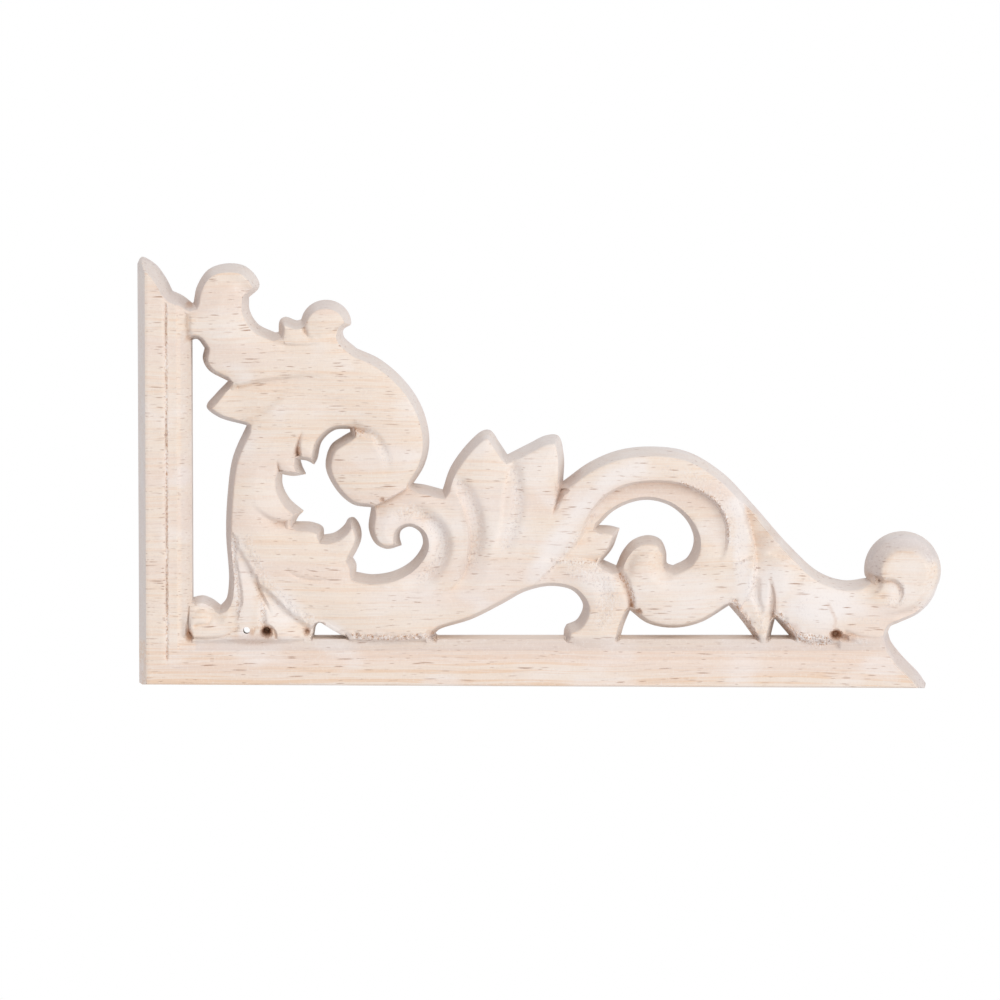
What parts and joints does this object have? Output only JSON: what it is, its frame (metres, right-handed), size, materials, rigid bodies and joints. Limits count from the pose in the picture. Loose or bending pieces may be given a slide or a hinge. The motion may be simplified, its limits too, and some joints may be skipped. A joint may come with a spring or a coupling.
{
  "type": "carved wooden corner onlay",
  "caption": "Carved corner onlay: an L-shaped moulded rail with pierced acanthus scrollwork in its inner angle, to be fixed flat by its back to furniture, a door or a frame.",
  "frame": {"origin": "on the flat back, in the middle of the square corner where the two rails meet", "axes": "+X along the long rail away from the corner, +Z along the short rail, +Y out of the flat back, so the carving faces -Y"},
  "size_m": [0.1325, 0.0077, 0.0714],
  "materials": {
    "bare_wood": "unfinished pale hardwood with open pores, smooth from the cutter and not sealed"
  },
  "bodies": {
    "root": {"corner_onlay": "bare_wood"}
  },
  "joints": []
}
